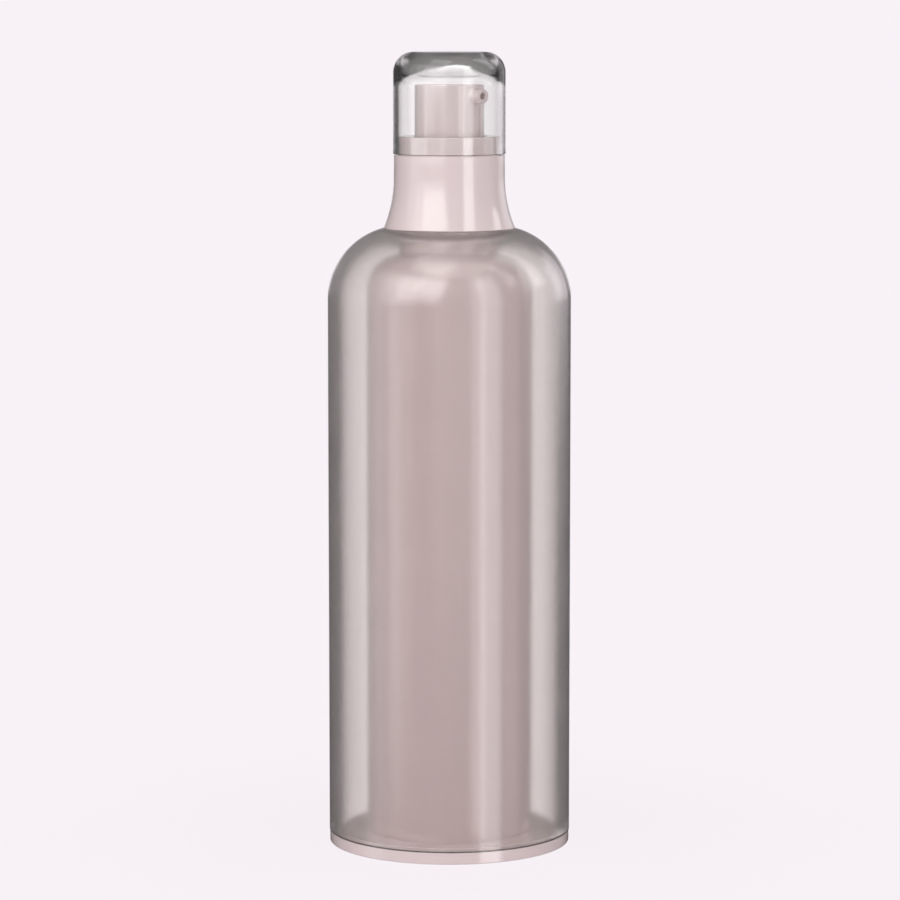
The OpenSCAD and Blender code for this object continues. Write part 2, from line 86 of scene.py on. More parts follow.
def high_mm(node):
    """Highest corner of a CAD node, in millimetres."""
    return np.array(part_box(node)[1]) / MM


# Outlines of turned pieces


def rounded(corners):
    """Outline in which each corner (radius, height, fillet) is replaced by an arc.

    A fillet f between sides that meet at the angle a starts f / tan(a / 2) along each side. Its centre lies on the
    line that halves the angle, f / sin(a / 2) from the corner, and its points sweep from one start to the other.
    """
    # Corners flatter than this stay as they are, and an arc gets more steps the larger its radius is
    flat, fewest, more = math.radians(1), 3, 11
    corners = np.array(corners, float)
    outline = []
    for i, (x, z, fillet) in enumerate(corners):
        here = np.array([x, z])
        back = corners[i - 1, :2] - here
        on = corners[(i + 1) % len(corners), :2] - here
        back, on = back / np.linalg.norm(back), on / np.linalg.norm(on)
        angle = math.acos(np.clip(back @ on, -1, 1))
        if fillet <= 0 or math.pi - angle < flat:
            outline.append(here[None])
            continue
        centre = here + (back + on) / np.linalg.norm(back + on) * fillet / math.sin(angle / 2)
        start = here + back * fillet / math.tan(angle / 2) - centre
        end = here + on * fillet / math.tan(angle / 2) - centre
        sweep = math.pi - angle
        steps = math.ceil((fewest + more * math.sqrt(fillet)) * sweep / (math.pi / 2))
        share = np.linspace(0, 1, steps + 1)[:, None]
        turn = (np.sin((1 - share) * sweep) * start + np.sin(share * sweep) * end) / math.sin(sweep)
        outline.append(centre + turn)
    return np.vstack(outline)


def arc(centre_x, centre_z, radius, start, end, steps=32):
    """Corners (radius, height, no fillet) on a circle in the half section, between two angles in degrees."""
    angle = np.radians(np.linspace(start, end, steps + 1))
    return np.stack([centre_x + radius * np.cos(angle), centre_z + radius * np.sin(angle), 0 * angle], axis=1).tolist()


def stepped(outline, closed):
    """The same outline with its long straight sides cut into equal steps, so that shading stays even along them."""
    ends = np.roll(outline, -1, axis=0) if closed else np.vstack([outline[1:], outline[-1:]])
    length = np.linalg.norm(ends - outline, axis=1)
    count = np.maximum(np.ceil(length / LONGEST_STEP).astype(int), 1)
    side = np.repeat(np.arange(len(outline)), count)
    share = (np.arange(count.sum()) - np.repeat(np.cumsum(count) - count, count)) / count[side]
    return outline[side] + share[:, None] * (ends - outline)[side]


# Surfaces


def grid_faces(index):
    """Faces between the rows and columns of a grid of point numbers; a quad that shares a point becomes a triangle."""
    a, b = index[:-1, :-1], index[:-1, 1:]
    d, c = index[1:, :-1], index[1:, 1:]
    quads = np.stack([a, b, c, d], axis=2).reshape(-1, 4)
    same_low = quads[:, 0] == quads[:, 1]
    same_high = quads[:, 2] == quads[:, 3]
    whole = quads[~same_low & ~same_high].tolist()
    return whole + quads[same_low & ~same_high][:, [0, 2, 3]].tolist() + quads[same_high & ~same_low][:, :3].tolist()


def turned(corners, around=AROUND):
    """Surface of revolution: the outline's point (r, z) goes round to (r cos u, r sin u, z).

    The outline runs anticlockwise with the axis on its left, so faces point outwards. It closes on itself, unless it
    starts and ends on the axis.
    """
    outline = rounded(corners)
    closed = outline[0, 0] > 0 or outline[-1, 0] > 0
    outline = stepped(outline, closed)
    rows = len(outline)
    u = np.arange(around) * TURN / around
    r, z = outline[:, 0], outline[:, 1]
    points = np.stack([np.outer(r, np.cos(u)), np.outer(r, np.sin(u)), np.outer(z, np.ones(around))], axis=2)
    index = np.arange(rows * around).reshape(rows, around)
    on_axis = r < ON_AXIS
    index[on_axis] = index[on_axis][:, :1]
    index = np.hstack([index, index[:, :1]])
    if closed:
        index = np.vstack([index, index[:1]])
    return points.reshape(-1, 3), grid_faces(index)


def swept(centres, across, up, radius, around):
    """Round wire of one radius along a path, closed by a fan at each end.

    The ring at a path point is centre + radius (cos v across - sin v up).
    """
    v = np.arange(around) * TURN / around
    ring = np.cos(v)[None, :, None] * across[:, None, :] - np.sin(v)[None, :, None] * up[:, None, :]
    points = (centres[:, None, :] + radius * ring).reshape(-1, 3)
    count = len(points)
    index = np.arange(count).reshape(len(centres), around)
    index = np.vstack([np.full(around, count), index, np.full(around, count + 1)])
    index = np.hstack([index, index[:, :1]])
    return np.vstack([points, centres[:1], centres[-1:]]), grid_faces(index)


def towards_front(shape, height):
    """Turns a surface about the X axis so that its own Z points along -Y, and lifts it to a height."""
    points, faces = shape
    return np.stack([points[:, 0], -points[:, 2], points[:, 1] + height], axis=1), faces


def joined(*shapes):
    """One surface from several, with the face numbers moved on."""
    points, faces, start = [], [], 0
    for some_points, some_faces in shapes:
        points.append(some_points)
        faces += [[corner + start for corner in face] for face in some_faces]
        start += len(some_points)
    return np.vstack(points), faces


def outward(shape):
    """The same surface with all its faces turned, if the volume that they enclose comes out negative."""
    points, faces = shape
    fans = np.array([[f[0], f[i], f[i + 1]] for f in faces for i in range(1, len(f) - 1)])
    a, b, c = points[fans[:, 0]], points[fans[:, 1]], points[fans[:, 2]]
    volume = np.einsum("ij,ij->i", a, np.cross(b, c)).sum() / 6
    return (points, faces) if volume > 0 else (points, [face[::-1] for face in faces])


def new_mesh(name, shape):
    """Smooth-shaded mesh object of a surface, with the points in metres and sharp edges where it turns sharply."""
    points, faces = outward(shape)
    mesh = bpy.data.meshes.new(name)
    mesh.from_pydata((points * MM).tolist(), [], faces)
    mesh.validate()
    mesh.shade_smooth()
    mesh.set_sharp_from_angle(angle=SHARP)
    piece = bpy.data.objects.new(name, mesh)
    bpy.context.scene.collection.objects.link(piece)
    return piece


def add_piece(name, shape, body, node, material):
    """Adds a finished piece, rides it on its body and lets it stand for its CAD node."""
    piece = shape if isinstance(shape, bpy.types.Object) else new_mesh(name, shape)
    piece.data.materials.append(material)
    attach(piece, body)
    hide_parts(node)
    return piece


def drilled(piece, cutter):
    """Merges the parts of a piece into one skin and cuts another shape out of it."""
    cut = piece.modifiers.new("hole", "BOOLEAN")
    cut.operation = "DIFFERENCE"
    cut.solver = "EXACT"
    cut.use_self = True
    cut.object = cutter
    bpy.context.view_layer.update()
    mesh = bpy.data.meshes.new_from_object(piece.evaluated_get(bpy.context.evaluated_depsgraph_get()))
    piece.modifiers.clear()
    piece.data = mesh
    bpy.data.objects.remove(cutter)
    mesh.shade_smooth()
    mesh.set_sharp_from_angle(angle=SHARP)
    return piece


# Materials


def linear(hex_colour):
    """sRGB hex colour as linear red, green, blue and alpha."""
    value = np.array([int(hex_colour[i : i + 2], 16) for i in (1, 3, 5)]) / 255
    light = np.where(value <= 0.04045, value / 12.92, ((value + 0.055) / 1.055) ** 2.4)
    return (*light.tolist(), 1.0)


def add_node(tree, kind, settings=(), values=(), links=()):
    """Adds a node with its settings, the values of its sockets and the links that go into it.

    A socket is given by its name or, where several share one, by its number.
    """
    node = tree.nodes.new(kind)
    for key, value in dict(settings).items():
        setattr(node, key, value)
    for key, value in dict(values).items():
        node.inputs[key].default_value = value
    for key, source in dict(links).items():
        tree.links.new(source, node.inputs[key])
    return node


def new_material(name):
    """Node material that starts with its output alone, and the tree and output to build on."""
    material = bpy.data.materials.new(name)
    material.use_nodes = True
    tree = material.node_tree
    tree.nodes.clear()
    return material, tree, add_node(tree, "ShaderNodeOutputMaterial")


def skin(tree, blotch_mm, grain_mm, grain_depth_mm, roughness, spread, detail=2.0, colour=None, shade=0.0):
    """Links that make a surface uneven, for the Principled shader of a material.

    Slow noise with blotches of one width, in Object coordinates, moves the roughness up and down by a share. Where a
    colour is given, the same noise darkens it by up to a share. Fine noise of another width is the height of the grain,
    and the normal leans with its slope.
    """
    place = add_node(tree, "ShaderNodeTexCoord").outputs["Object"]
    slow, fine = (
        add_node(
            tree,
            "ShaderNodeTexNoise",
            values={"Scale": 1 / (width * MM), "Detail": detail},
            links={"Vector": place},
        )
        for width in (blotch_mm, grain_mm)
    )
    # Most of the noise lies between these two values
    middle = {"From Min": 0.3, "From Max": 0.7}
    limits = {"To Min": roughness * (1 - spread), "To Max": roughness * (1 + spread)}
    rough = add_node(tree, "ShaderNodeMapRange", values={**middle, **limits}, links={"Value": slow.outputs["Fac"]})
    bump = add_node(
        tree,
        "ShaderNodeBump",
        values={"Strength": 0.25, "Distance": grain_depth_mm * MM},
        links={"Height": fine.outputs["Fac"]},
    )
    links = {"Roughness": rough.outputs["Result"], "Normal": bump.outputs["Normal"]}
    if colour:
        bright = linear(colour)
        dark = (*(part * (1 - shade) for part in bright[:3]), 1.0)
        share = add_node(tree, "ShaderNodeMapRange", values=middle, links={"Value": slow.outputs["Fac"]})
        mix = add_node(tree, "ShaderNodeMix", {"data_type": "RGBA"}, {6: dark, 7: bright}, {0: share.outputs["Result"]})
        links["Base Color"] = mix.outputs[2]
    return links


def moulded_plastic(name, colour, roughness, grain_mm, grain_depth_mm, polish=None):
    """Opaque moulded plastic.

    Slow noise a few millimetres wide shifts colour and gloss a little, as pigment and flow do. Fine noise gives the
    faint orange peel of a moulded skin. Where the mould was polished, its gloss is a thin coat of that roughness.
    """
    material, tree, output = new_material(name)
    blotch_mm, spread, shade = 9, 0.07, 0.03
    uneven = skin(tree, blotch_mm, grain_mm, grain_depth_mm, roughness, spread, colour=colour, shade=shade)
    coat = {"Coat Weight": 1.0, "Coat Roughness": polish} if polish else {}
    plastic = add_node(tree, "ShaderNodeBsdfPrincipled", values={"IOR": 1.5, **coat}, links=uneven)
    tree.links.new(plastic.outputs["BSDF"], output.inputs["Surface"])
    return material


def clear_plastic(name, tint, clear, roughness, frost_mm, frost_depth_mm, film_tint):
    """See-through plastic that refracts, and that lets the lamps' light through to what is behind it.

    Rays from the lamps and scattered light meet a plain tinted film in its place, because light bent by a refracting
    wall would reach the inside only as noise.
    """
    material, tree, output = new_material(name)
    blotch_mm, spread = 11, 0.1
    plastic = add_node(
        tree,
        "ShaderNodeBsdfPrincipled",
        values={"Base Color": linear(tint), "IOR": 1.49, "Transmission Weight": clear},
        links=skin(tree, blotch_mm, frost_mm, frost_depth_mm, roughness, spread),
    )
    film = add_node(tree, "ShaderNodeBsdfTransparent", values={"Color": linear(film_tint)})
    path = add_node(tree, "ShaderNodeLightPath")
    shader = plastic.outputs["BSDF"]
    for ray in ("Is Shadow Ray", "Is Diffuse Ray"):
        mix = add_node(tree, "ShaderNodeMixShader", links={0: path.outputs[ray], 1: shader, 2: film.outputs["BSDF"]})
        shader = mix.outputs["Shader"]
    tree.links.new(shader, output.inputs["Surface"])
    return material


def drawn_steel(name, colour, roughness, line_mm, depth_mm):
    """Bright steel with fine marks from drawing or grinding, finer marks than the render can show."""
    material, tree, output = new_material(name)
    marks = skin(tree, line_mm, line_mm, depth_mm, roughness, spread=0.3, detail=4.0, colour=colour, shade=0.08)
    steel = add_node(tree, "ShaderNodeBsdfPrincipled", values={"Metallic": 1.0}, links=marks)
    tree.links.new(steel.outputs["BSDF"], output.inputs["Surface"])
    return material


def finish(key):
    """Material of a finish by its key, made when it is first asked for."""
    looks = bpy.context.scene.bottle_looks
    if key not in bpy.data.materials:
        FINISHES[key](key, looks)
    return bpy.data.materials[key]


FINISHES = {
    # Clear moulded acrylic with a soft polish: what stands close behind it is crisp, and what is further in blurs
    "acrylic_polished": lambda key, looks: clear_plastic(
        key, "#FDFDFC", clear=1.0, roughness=0.1, frost_mm=6, frost_depth_mm=0.004, film_tint="#F6F6F6"
    ),
    # Acrylic sprayed with a fine satin lacquer: it blurs what is behind, softens highlights and adds a faint veil
    "acrylic_satin": lambda key, looks: clear_plastic(
        key, "#F8F4F2", clear=0.94, roughness=looks.satin, frost_mm=0.6, frost_depth_mm=0.01, film_tint="#EFEDED"
    ),
    # Moulded ABS with a soft gloss over its colour: the collar, ring, button and base
    "abs_pink": lambda key, looks: moulded_plastic(
        key, looks.pink, roughness=0.2, grain_mm=0.5, grain_depth_mm=0.004, polish=0.12
    ),
    # Moulded polypropylene with a silky gloss: the inner bottle. Its colour is a darker copy of the pink, with painted
    # shade for the light that the outer wall holds back
    "polypropylene_pink": lambda key, looks: moulded_plastic(
        key, looks.inner_pink_with_painted_shade, roughness=0.24, grain_mm=0.7, grain_depth_mm=0.004, polish=0.1
    ),
    # Uncoloured polypropylene: milky and waxy
    "polypropylene_natural": lambda key, looks: moulded_plastic(
        key, "#E6E4DF", roughness=0.38, grain_mm=0.6, grain_depth_mm=0.02
    ),
    # Soft low-density polyethylene: dull white seals
    "polyethylene_white": lambda key, looks: moulded_plastic(
        key, "#F0EFEC", roughness=0.45, grain_mm=0.5, grain_depth_mm=0.02
    ),
    # Closed-cell foam: dull, with cells under half a millimetre wide
    "foam_closed_cell": lambda key, looks: moulded_plastic(
        key, "#9D9B98", roughness=0.85, grain_mm=0.4, grain_depth_mm=0.12
    ),
    # Stainless spring wire, drawn through a die
    "steel_drawn": lambda key, looks: drawn_steel(key, "#B9BABD", roughness=0.25, line_mm=0.15, depth_mm=0.004),
    # Stainless ball, ground and lapped
    "steel_lapped": lambda key, looks: drawn_steel(key, "#C6C7CA", roughness=0.1, line_mm=0.3, depth_mm=0.001),
}


# Settings that a user would change


class BottleLooks(bpy.types.PropertyGroup):
    """Colours and finish of the bottle."""

    pink: bpy.props.StringProperty(name="Pink", description="sRGB colour of the pink parts", default="#E2D2D2")
    # Colour of the inner bottle: a darker copy of the pink, with painted shade for the light that the outer wall holds
    # back
    inner_pink_with_painted_shade: bpy.props.StringProperty(
        name="Inner pink", description="sRGB colour of the inner bottle", default="#D3C1C0"
    )
    satin: bpy.props.FloatProperty(
        name="Satin",
        description="Roughness of the outer bottle's lacquer",
        default=0.15,
        min=0,
        max=1,
        subtype="FACTOR",
    )
    backdrop: bpy.props.StringProperty(
        name="Backdrop", description="sRGB colour of the floor and the backdrop", default="#F8F2F7"
    )


class BottleSizes(bpy.types.PropertyGroup):
    """Sizes that shape the visible pieces, in millimetres. Their defaults follow the CAD model."""

    outer_wall: bpy.props.FloatProperty(name="Outer wall", description="Wall of the outer bottle", default=2.5)
    shoulder: bpy.props.FloatProperty(name="Shoulder", description="Radius of the outer shoulder", default=15.1)
    neck_hole: bpy.props.FloatProperty(name="Neck hole", description="Radius of the outer bottle's hole", default=8.85)
    inner_wall: bpy.props.FloatProperty(name="Inner wall", description="Wall of the inner bottle", default=1.3)
    neck: bpy.props.FloatProperty(name="Neck", description="Outside radius of the neck", default=8.1)
    neck_wall: bpy.props.FloatProperty(name="Neck wall", description="Wall of the neck", default=1.1)
    flare: bpy.props.FloatProperty(name="Flare", description="Radius of the collar's concave flare", default=27.3)
    flare_out: bpy.props.FloatProperty(
        name="Flare width", description="How far the collar's foot stands out", default=2.2
    )
    cap_wall: bpy.props.FloatProperty(name="Cap wall", description="Side wall of the overcap", default=1.1)
    cap_top_wall: bpy.props.FloatProperty(name="Cap top", description="Top wall of the overcap", default=1.9)
    cap_corner: bpy.props.FloatProperty(name="Cap corner", description="Outside radius of the cap's edge", default=4.2)
    cap_inner_corner: bpy.props.FloatProperty(
        name="Cap inner corner", description="Inside radius of the cap's edge", default=5.2
    )
    head_wall: bpy.props.FloatProperty(name="Button wall", description="Wall of the push button", default=1.0)
    head_edge: bpy.props.FloatProperty(name="Button edge", description="Fillet of the push button's edge", default=0.5)
    spout_drop: bpy.props.FloatProperty(
        name="Spout drop", description="From the button's top to the spout", default=2.7
    )
    spout_root: bpy.props.FloatProperty(name="Spout root", description="Fillet at the spout's root", default=0.3)


# Operators, one for each piece or group of pieces


class BOTTLE_OT_outer(bpy.types.Operator):
    """Build the clear outer bottle."""

    bl_idname = "bottle.outer"
    bl_label = "Outer bottle"

    def execute(self, context):
        s = context.scene.bottle_sizes
        low, high, r = low_mm("outer_bottle")[2], high_mm("outer_bottle")[2], high_mm("outer_bottle")[0]
        inside = r - s.outer_wall
        outline = [
            (s.neck_hole, high - s.outer_wall, EDGE),
            (inside, high - s.outer_wall, s.shoulder - s.outer_wall),
            (inside, low, SEAM),
            (r, low, SEAM),
            (r, high, s.shoulder),
            (s.neck_hole, high, EDGE),
        ]
        add_piece("outer_wall", turned(outline), "bottle", "outer_bottle", finish("acrylic_satin"))
        return {"FINISHED"}


class BOTTLE_OT_inner(bpy.types.Operator):
    """Build the pink inner bottle with its ledge, neck and snap bead."""

    bl_idname = "bottle.inner"
    bl_label = "Inner bottle"

    def execute(self, context):
        s = context.scene.bottle_sizes
        low, high, r = low_mm("inner_bottle")[2], high_mm("inner_bottle")[2], high_mm("inner_bottle")[0]
        ceiling = high_mm("outer_bottle")[2] - s.outer_wall
        body_top = high_mm("outer_bottle")[2]
        below_pump, ledge_wide = 2.76, 1.4
        bead_out, bead_drop, bead_tall, bead_flat = 0.35, 4, 1, 0.5
        shoulder = r - s.neck
        shoulder_z = low_mm("pump_housing")[2] - below_pump
        crown = shoulder_z + shoulder
        root, ledge = s.neck_hole - FIT, s.neck_hole - FIT + ledge_wide
        bore, chamber = s.neck - s.neck_wall, r - s.inner_wall
        bead, bead_z = s.neck + bead_out, high - bead_drop
        crest = math.degrees(math.acos((ledge - s.neck) / shoulder))
        outline = [
            (r, low, EDGE),
            *arc(s.neck, shoulder_z, shoulder, 0, crest),
            (ledge, ceiling - FIT, EDGE),
            (root, ceiling - FIT, 0),
            (root, body_top, EDGE),
            (s.neck, body_top, 0),
            (s.neck, bead_z - bead_tall, 0),
            (bead, bead_z - bead_tall, EDGE),
            (bead, bead_z - bead_flat, EDGE),
            (s.neck, bead_z, 0),
            (s.neck, high, EDGE),
            (bore, high, EDGE),
            (bore, crown - s.inner_wall, 0),
            *arc(s.neck, shoulder_z, shoulder - s.inner_wall, 90, 0),
            (chamber, low, EDGE),
        ]
        add_piece(
            "inner_wall", turned(outline), "bottle", "inner_bottle", finish("polypropylene_pink")
        )
        return {"FINISHED"}


class BOTTLE_OT_base(bpy.types.Operator):
    """Build the base cap with its band, plug, recess and vent."""

    bl_idname = "bottle.base"
    bl_label = "Base cap"

    def execute(self, context):
        s = context.scene.bottle_sizes
        top, r = high_mm("base_cap")[2], high_mm("base_cap")[0]
        band = low_mm("outer_bottle")[2]
        inside = high_mm("outer_bottle")[0] - s.outer_wall
        inner = high_mm("inner_bottle")[0]
        plug = inner - s.inner_wall - FIT
        step, recess, rim, foot_edge, vent, plug_wall = 0.6, 0.8, 2.6, 0.25, 0.8, 1.3
        outline = [
            (r - rim, 0, EDGE),
            (r, 0, foot_edge),
            (r, band, SEAM),
            (inside - FIT, band, 0),
            (inside - FIT, band + step, EDGE),
            (inner + FIT, band + step, EDGE),
            (inner + FIT, band, 0),
            (plug, band, 0),
            (plug, top, EDGE),
            (plug - plug_wall, top, EDGE),
            (plug - plug_wall, band, EDGE),
            (vent, band, EDGE),
            (vent, recess, EDGE),
            (r - rim, recess, EDGE),
        ]
        add_piece("base", turned(outline), "bottle", "base_cap", finish("abs_pink"))
        return {"FINISHED"}


class BOTTLE_OT_collar(bpy.types.Operator):
    """Build the flared collar and the cap ring inside it."""

    bl_idname = "bottle.collar"
    bl_label = "Collar and cap ring"

    def execute(self, context):
        s = context.scene.bottle_sizes
        ring, ring_top, ring_low = high_mm("cap_ring")[0], high_mm("cap_ring")[2], low_mm("cap_ring")[2]
        top = high_mm("collar")[2]
        foot = high_mm("collar")[0]
        outside = foot - s.flare_out
        inside = ring + FIT
        body_r, body_top = high_mm("outer_bottle")[0], high_mm("outer_bottle")[2]
        corner_x, corner_z = body_r - s.shoulder, body_top - s.shoulder
        seat = s.shoulder + FIT
        # The foot is a narrow blunt lip, where the flare begins half a degree up
        lip, lip_edge, lip_turn = 0.02, 0.12, 0.5
        top_edge, top_inner_edge = 0.15, 0.1
        steps = 3000
        foot_z = corner_z + math.sqrt(s.shoulder**2 - (foot - corner_x) ** 2)
        flare_z = foot_z + math.sqrt(s.flare**2 - (s.flare - s.flare_out) ** 2)
        flare_x = outside + s.flare
        tilt = math.degrees(math.asin((flare_z - foot_z) / s.flare))
        # The inside runs one wall behind the flare until it meets the seat on the shoulder, less than 30 degrees on
        angle = np.radians(np.linspace(180, 210, steps + 1))
        wall = s.flare + outside - inside
        gap = np.hypot(flare_x + wall * np.cos(angle) - corner_x, flare_z + wall * np.sin(angle) - corner_z) - seat
        end = math.degrees(angle[np.argmax(gap < 0)])
        outline = [
            *arc(flare_x, flare_z, wall, 180, end)[1:],
            (foot - lip, foot_z + lip, lip_edge),
            *arc(flare_x, flare_z, s.flare, 180 + tilt - lip_turn, 180),
            (outside, top, top_edge),
            (inside, top, top_inner_edge),
            (inside, flare_z, 0),
        ]
        add_piece("flared_collar", turned(outline), "bottle", "collar", finish("abs_pink"))
        button_gap, guide_wall, ring_wall, groove = 0.5, 0.9, 0.95, 1.2
        ring_edge, guide_edge = 0.25, 0.2
        guide = high_mm("push_button")[0] + button_gap
        closure_top = high_mm("snap_closure")[2]
        outline = [
            (ring, ring_low, EDGE),
            (ring, ring_top, ring_edge),
            (guide, ring_top, guide_edge),
            (guide, closure_top + FIT, EDGE),
            (guide + guide_wall, closure_top + FIT, EDGE),
            (guide + guide_wall, ring_top - groove, EDGE),
            (ring - ring_wall, ring_top - groove, EDGE),
            (ring - ring_wall, ring_low, EDGE),
        ]
        add_piece("inner_ring", turned(outline), "bottle", "cap_ring", finish("abs_pink"))
        return {"FINISHED"}


class BOTTLE_OT_overcap(bpy.types.Operator):
    """Build the clear overcap."""

    bl_idname = "bottle.overcap"
    bl_label = "Overcap"

    def execute(self, context):
        s = context.scene.bottle_sizes
        low, high, r = low_mm("overcap")[2], high_mm("overcap")[2], high_mm("overcap")[0]
        # The rim has a small lead-in chamfer on its inside
        inside, lead = r - s.cap_wall, 0.12
        outline = [
            (0, high - s.cap_top_wall, 0),
            (inside, high - s.cap_top_wall, s.cap_inner_corner),
            (inside, low + lead, 0),
            (inside + lead, low, 0),
            (r, low, SEAM),
            (r, high, s.cap_corner),
            (0, high, 0),
        ]
        add_piece("clear_cap", turned(outline), "cap", "overcap", finish("acrylic_polished"))
        return {"FINISHED"}


class BOTTLE_OT_button(bpy.types.Operator):
    """Build the push button with its spout, and the insert at the spout's tip."""

    bl_idname = "bottle.button"
    bl_label = "Push button"

    def execute(self, context):
        s = context.scene.bottle_sizes
        low, high, r = low_mm("push_button")[2], high_mm("push_button")[2], high_mm("push_button")[0]
        inside, ceiling = r - s.head_wall, high_mm("button_core")[2] + FIT
        ceiling_edge, skirt_edge = 0.3, 0.1
        shell = [
            (0, ceiling, 0),
            (inside, ceiling, ceiling_edge),
            (inside, low, skirt_edge),
            (r, low, EDGE),
            (r, high, s.head_edge),
            (0, high, 0),
        ]
        tip = -low_mm("push_button")[1]
        spout_r, insert_fit, past = 1.525, 0.03, 1
        height = high - s.spout_drop
        insert_r = high_mm("nozzle_insert")[0]
        shape = joined(outward(turned(shell)), outward(self.spout(r, spout_r, s.spout_root, tip, height)))
        bore_r, start, end = insert_r + insert_fit, inside - past, tip + past
        bore = [(0, start, 0), (bore_r, start, 0), (bore_r, end, 0), (0, end, 0)]
        cutter = towards_front(turned(bore, around=48), height)
        button = drilled(new_mesh("button", shape), new_mesh("bore", cutter))
        add_piece("button", button, "button", "push_button", finish("abs_pink"))
        back, orifice = -high_mm("nozzle_insert")[1], 0.75
        back_edge, front_edge, orifice_edge = 0.05, 0.1, 0.12
        insert = [
            (orifice, back, back_edge),
            (insert_r, back, back_edge),
            (insert_r, tip, front_edge),
            (orifice, tip, orifice_edge),
        ]
        add_piece(
            "spout_insert",
            towards_front(turned(insert, around=64), height),
            "button",
            "nozzle_insert",
            finish("abs_pink"),
        )
        return {"FINISHED"}

    @staticmethod
    def spout(shell_r, spout_r, root, tip, height, around=64):
        """Spout that grows out of the round shell.

        At the distance d from the shell, measured along the spout, its radius is spout_r + root (1 - sin t) with
        d = root (1 - cos t), a quarter circle that blends into the shell. Beyond the root it is straight up to its
        rounded tip, and a fan closes each end.
        """
        # The spout starts inside the shell's wall, with a fan that closes it there
        start, fan, edge = -0.4, -0.6, 0.15
        root_points, tip_points = 10, 5
        u = np.arange(around) * TURN / around
        t = np.linspace(0, math.pi / 2, root_points)
        radius = np.concatenate([[spout_r + root], spout_r + root * (1 - np.sin(t))])
        depth = np.concatenate([[start], root * (1 - np.cos(t))])
        x = np.outer(radius, np.cos(u))
        z = np.outer(radius, np.sin(u))
        y = np.sqrt(shell_r**2 - x**2) + depth[:, None]
        turn = np.linspace(0, math.pi / 2, tip_points)
        end_radius = np.concatenate([spout_r - edge + edge * np.cos(turn), [0]])
        end_y = np.concatenate([tip - edge + edge * np.sin(turn), [tip]])
        x = np.vstack([np.zeros(around), x, np.outer(end_radius, np.cos(u))])
        z = np.vstack([np.zeros(around), z, np.outer(end_radius, np.sin(u))])
        y = np.vstack([np.full(around, shell_r + fan), y, np.repeat(end_y[:, None], around, axis=1)])
        points = np.stack([x, -y, z + height], axis=2).reshape(-1, 3)
        index = np.arange(len(points)).reshape(-1, around)
        index[0], index[-1] = index[0, 0], index[-1, 0]
        return points, grid_faces(np.hstack([index, index[:, :1]]))


class BOTTLE_OT_spring(bpy.types.Operator):
    """Build the return spring as a smooth round wire."""

    bl_idname = "bottle.spring"
    bl_label = "Return spring"

    def execute(self, context):
        low, high = low_mm("return_spring"), high_mm("return_spring")
        wire, turns, close, close_gap = 0.25, 4.5, 0.75, 0.45
        per_turn, sides = 48, 14
        coil = high[0] - wire
        share = np.linspace(0, turns, int(turns * per_turn) + 1)
        # The pitch is small in the close end turns and even in between
        close_rise = close * (2 * wire + close_gap)
        height = high[2] - low[2] - 2 * wire
        rise = np.interp(share, [0, close, turns - close, turns], [0, close_rise, height - close_rise, height])
        angle = share * TURN
        out = np.stack([np.cos(angle), np.sin(angle), 0 * angle], axis=1)
        centres = out * coil + np.stack([0 * angle, 0 * angle, low[2] + wire + rise], axis=1)
        up = np.tile([0.0, 0.0, 1.0], (len(angle), 1))
        spring = add_piece(
            "spring_wire",
            swept(centres, out, up, wire, sides),
            "bottle",
            "return_spring",
            finish("steel_drawn"),
        )
        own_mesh(spring)
        return {"FINISHED"}


class BOTTLE_OT_hidden(bpy.types.Operator):
    """Give the pump's hidden CAD pieces their finishes."""

    bl_idname = "bottle.hidden"
    bl_label = "Hidden pump pieces"

    FINISH_OF = {
        "button_core": "polypropylene_natural",
        "snap_closure": "polypropylene_natural",
        "stem_guide": "polypropylene_natural",
        "pump_stem": "polypropylene_natural",
        "valve_rod": "polypropylene_natural",
        "pump_housing": "polypropylene_natural",
        "ball_cage": "polypropylene_natural",
        "piston_seal": "polyethylene_white",
        "follower_piston": "polyethylene_white",
        "neck_gasket": "foam_closed_cell",
        "inlet_ball": "steel_lapped",
    }

    def execute(self, context):
        for node, key in self.FINISH_OF.items():
            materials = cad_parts[node].data.materials
            materials.clear()
            materials.append(finish(key))
        return {"FINISHED"}


